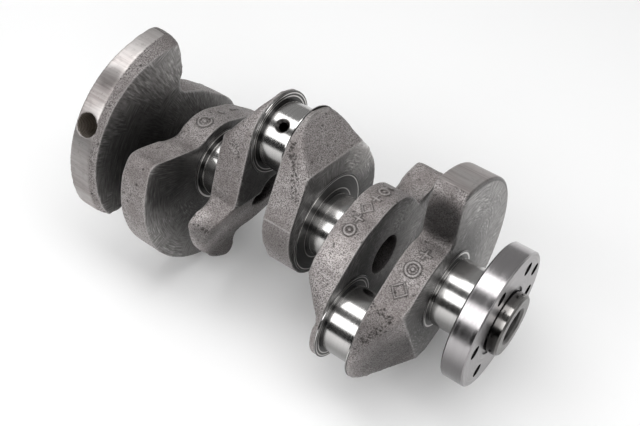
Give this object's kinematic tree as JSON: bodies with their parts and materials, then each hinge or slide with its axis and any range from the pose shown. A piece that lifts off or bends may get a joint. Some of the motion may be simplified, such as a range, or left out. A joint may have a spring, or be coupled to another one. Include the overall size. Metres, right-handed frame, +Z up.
{
  "type": "crankshaft",
  "caption": "Bare one-piece in-line engine crankshaft with ground journals, cast webs, counterweights, a front nose and a drilled flywheel flange.",
  "frame": {"origin": "centre of the rear flange's outer face, on the main bearing axis", "axes": "+X along the main bearing axis, out of the engine through the flange; +Z up. The middle crankpin stands 78 degrees from +Y towards +Z, the front crankpin 318 degrees and the rear crankpin 198 degrees."},
  "size_m": [0.3205, 0.142, 0.1428],
  "materials": {
    "ground_journals": "ground and polished journals with turned collars and rolled grooves",
    "cast_webs": "as-cast pebbled rims with machined side faces",
    "cast_weights": "as-cast rims with machined side faces",
    "turned_weight": "turned rim with an unmachined cast strip along one edge",
    "turned_flange": "fine turned finish"
  },
  "bodies": {
    "root": {"front_nose": "turned_flange", "main_journal_1": "ground_journals", "main_journal_2": "ground_journals", "main_journal_3": "ground_journals", "main_journal_4": "ground_journals", "crankpin_1": "ground_journals", "crankpin_2": "ground_journals", "crankpin_3": "ground_journals", "web_1": "cast_webs", "web_2": "cast_webs", "web_3": "cast_webs", "web_4": "cast_webs", "web_5": "cast_webs", "web_6": "cast_webs", "counterweight_1": "turned_weight", "counterweight_2": "cast_weights", "counterweight_3": "cast_weights", "counterweight_4": "cast_weights", "counterweight_5": "cast_weights", "counterweight_6": "cast_weights", "rear_flange": "turned_flange", "pilot_hub": "turned_flange"}
  },
  "joints": []
}
